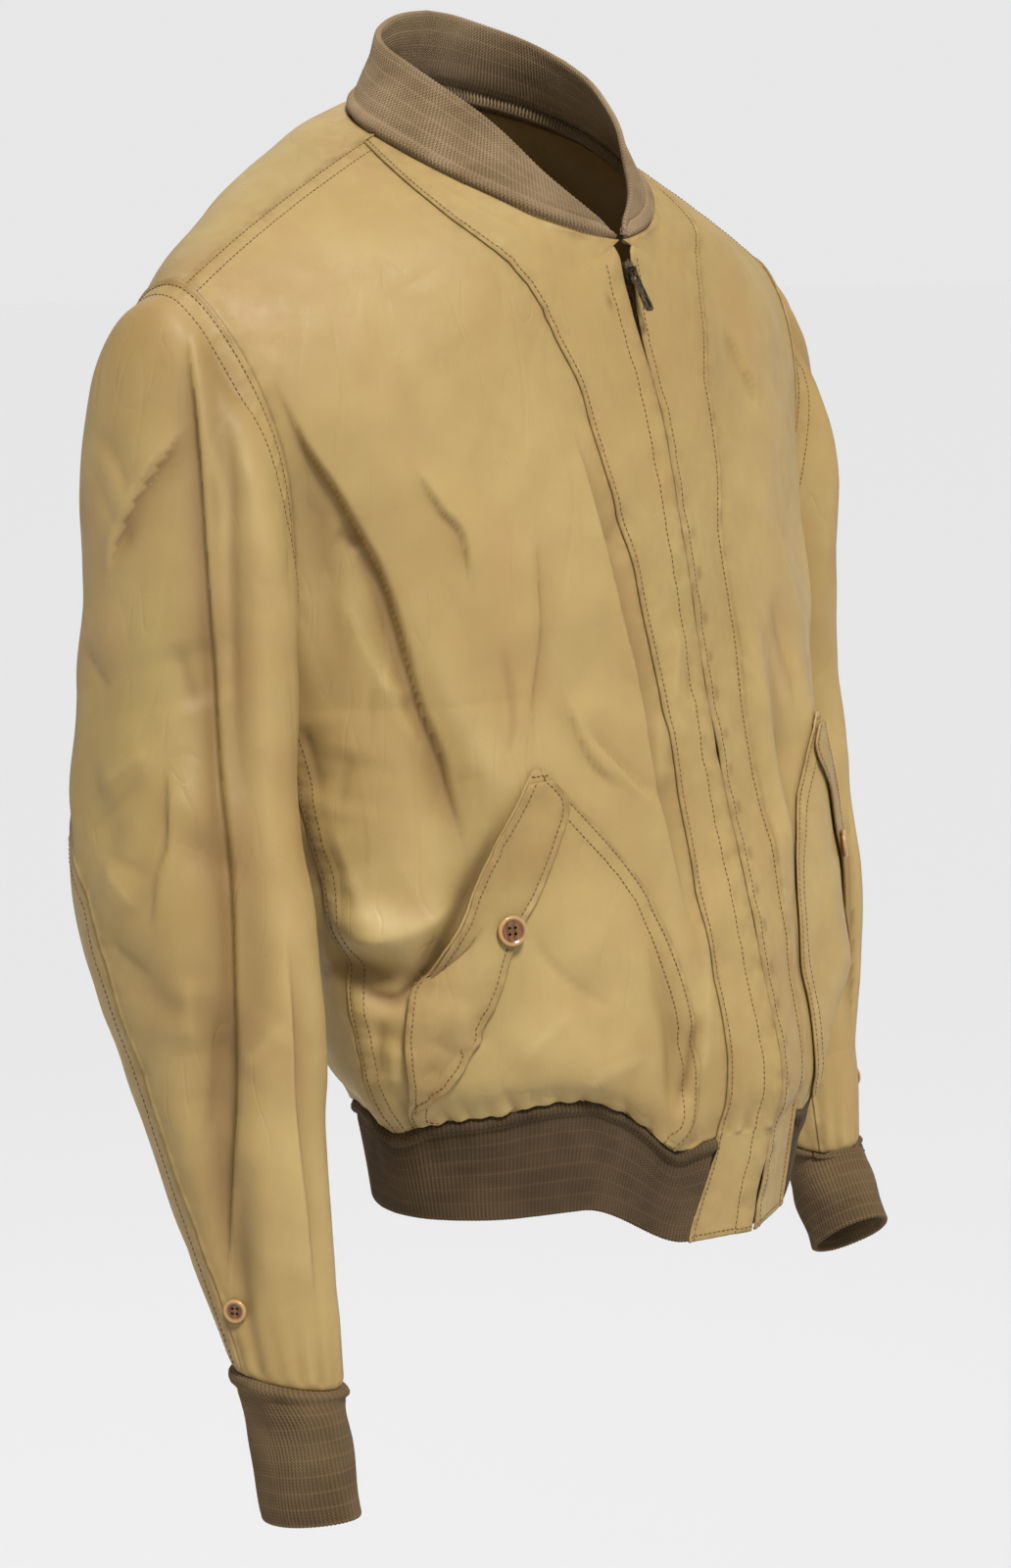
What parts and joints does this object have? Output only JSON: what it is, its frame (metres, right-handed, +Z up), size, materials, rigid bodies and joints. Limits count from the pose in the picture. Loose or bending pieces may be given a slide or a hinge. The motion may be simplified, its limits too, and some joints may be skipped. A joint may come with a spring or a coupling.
{
  "type": "leather jacket",
  "caption": "Worn tan leather blouson with rib knit stand collar, cuffs and waistband, front zip, slanted patch pockets with buttons and set-in sleeves, hollow as when worn.",
  "frame": {"origin": "middle of the neck hole, level with the points where the shoulder seams meet the collar, where a wearer's neck and shoulders hold the jacket", "axes": "+Z up, the front faces -Y, the wearer's right sleeve is on -X"},
  "size_m": [0.6406, 0.2869, 0.817],
  "materials": {
    "leather": "soft worn tan leather, mottled and creased",
    "rib_knit": "matt brown rib knit",
    "zip_tape": "woven tape",
    "aged_brass": "darkened metal",
    "button": "polished brown"
  },
  "bodies": {
    "jacket": {"back": "leather", "front_side_right": "leather", "front_side_left": "leather", "front_centre_right": "leather", "front_centre_left": "leather", "sleeve_upper_right": "leather", "sleeve_upper_left": "leather", "sleeve_under_right": "leather", "sleeve_under_left": "leather", "pocket_right": "leather", "pocket_left": "leather", "pocket_band_right": "leather", "pocket_band_left": "leather", "collar": "rib_knit", "waistband": "rib_knit", "cuff_right": "rib_knit", "cuff_left": "rib_knit", "zip_tape_right": "zip_tape", "zip_tape_left": "zip_tape", "zip_chain": "aged_brass", "zip_slider": "aged_brass", "pocket_button_right": "button", "pocket_button_left": "button", "sleeve_button_right": "button", "sleeve_button_left": "button"},
    "zip_pull": {"zip_pull": "aged_brass"}
  },
  "joints": [
    {"name": "pull_swing", "type": "hinge", "parent": "jacket", "child": "zip_pull", "pos_m": [0.00018, -0.10133, -0.07973], "axis": [-1, 0, 0], "range_deg": [-8, 130]}
  ]
}
